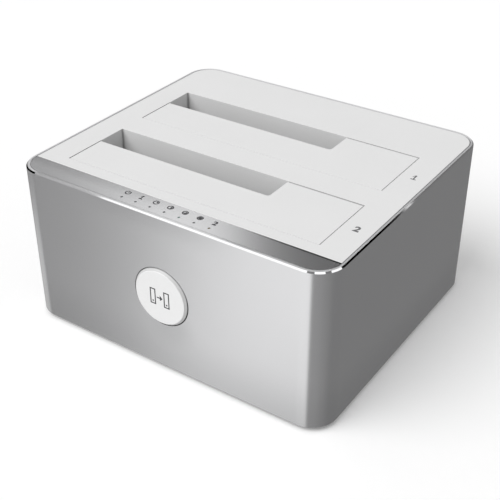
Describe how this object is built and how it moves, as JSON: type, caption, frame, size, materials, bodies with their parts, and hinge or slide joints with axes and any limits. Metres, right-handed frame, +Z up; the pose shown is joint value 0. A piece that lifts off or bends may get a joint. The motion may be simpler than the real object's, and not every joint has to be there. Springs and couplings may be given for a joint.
{
  "type": "hard drive docking station",
  "caption": "Desktop dock in a satin aluminium sleeve with a white top, where hard drives stand upright in bays closed by sprung L-shaped flaps, with a round front button and rear ports.",
  "frame": {"origin": "centre of the box round the object, on the surface that the feet stand on", "axes": "+X to the right seen from the front, +Y from the front button to the rear ports, +Z up"},
  "size_m": [0.128, 0.1155, 0.0629],
  "materials": {
    "anodised_aluminium": "satin anodised metal with a polished bevel",
    "white_plastic": "fine matt moulded plastic",
    "button_plastic": "smooth satin moulded plastic",
    "well_plastic": "matt moulded plastic",
    "light_guide_plastic": "clear smoky plastic",
    "circuit_board": "green solder mask on glass fibre",
    "black_plastic": "fine matt moulded plastic",
    "ivory_plastic": "plain moulded plastic",
    "blue_plastic": "plain moulded plastic",
    "ribbon_plastic": "flat flexible cable",
    "steel": "bright zinc plate",
    "nickel_shell": "nickel plated sheet",
    "gold_contact": "gold flash",
    "capacitor_can": "bare can",
    "rubber": "soft matt rubber"
  },
  "bodies": {
    "housing": {"aluminium_sleeve": "anodised_aluminium", "top_cover": "white_plastic", "indicator_strip": "anodised_aluminium", "light_guide": "light_guide_plastic", "indicator_board": "circuit_board", "indicator_leds": "ivory_plastic", "indicator_screws": "steel", "indicator_ribbon": "ribbon_plastic", "front_hinge_pin": "steel", "rear_hinge_pin": "steel", "front_flap_spring": "steel", "rear_flap_spring": "steel", "front_drive_well": "well_plastic", "rear_drive_well": "well_plastic", "well_screws": "steel", "front_sata_socket": "black_plastic", "rear_sata_socket": "black_plastic", "front_sata_contacts": "gold_contact", "rear_sata_contacts": "gold_contact", "main_board": "circuit_board", "board_chips": "black_plastic", "board_capacitors": "capacitor_can", "board_screws": "steel", "ribbon_headers": "ivory_plastic", "clone_switch": "black_plastic", "switch_board": "circuit_board", "switch_ribbon": "ribbon_plastic", "button_guide": "well_plastic", "guide_screws": "steel", "rear_port_panel": "black_plastic", "usb_socket": "nickel_shell", "usb_tongue": "blue_plastic", "power_inlet": "black_plastic", "inlet_pin": "steel", "rocker_housing": "black_plastic", "base_cover": "black_plastic", "base_screws": "steel", "rubber_feet": "rubber"},
    "front_flap": {"front_flap": "white_plastic"},
    "rear_flap": {"rear_flap": "white_plastic"},
    "clone_button": {"clone_button": "button_plastic", "switch_plunger": "black_plastic"},
    "power_rocker": {"power_rocker": "black_plastic"}
  },
  "joints": [
    {"name": "front_flap_hinge", "type": "hinge", "parent": "housing", "child": "front_flap", "pos_m": [0, -0.04265, 0.0591], "axis": [-1, 0, 0], "range_deg": [0, 90], "stiffness_Nm_per_rad": 0.02, "springref_deg": -28.65, "deforming": ["front_flap_spring"]},
    {"name": "rear_flap_hinge", "type": "hinge", "parent": "housing", "child": "rear_flap", "pos_m": [0, -0.00175, 0.0591], "axis": [-1, 0, 0], "range_deg": [0, 90], "stiffness_Nm_per_rad": 0.02, "springref_deg": -28.65, "deforming": ["rear_flap_spring"]},
    {"name": "clone_button_press", "type": "slide", "parent": "housing", "child": "clone_button", "axis": [0, 1, 0], "range_m": [0, 0.0008], "stiffness_N_per_m": 600, "springref_m": -0.001},
    {"name": "power_rocker_tilt", "type": "hinge", "parent": "housing", "child": "power_rocker", "pos_m": [-0.02, 0.05305, 0.01733], "axis": [1, 0, 0], "range_deg": [0, 22]}
  ]
}
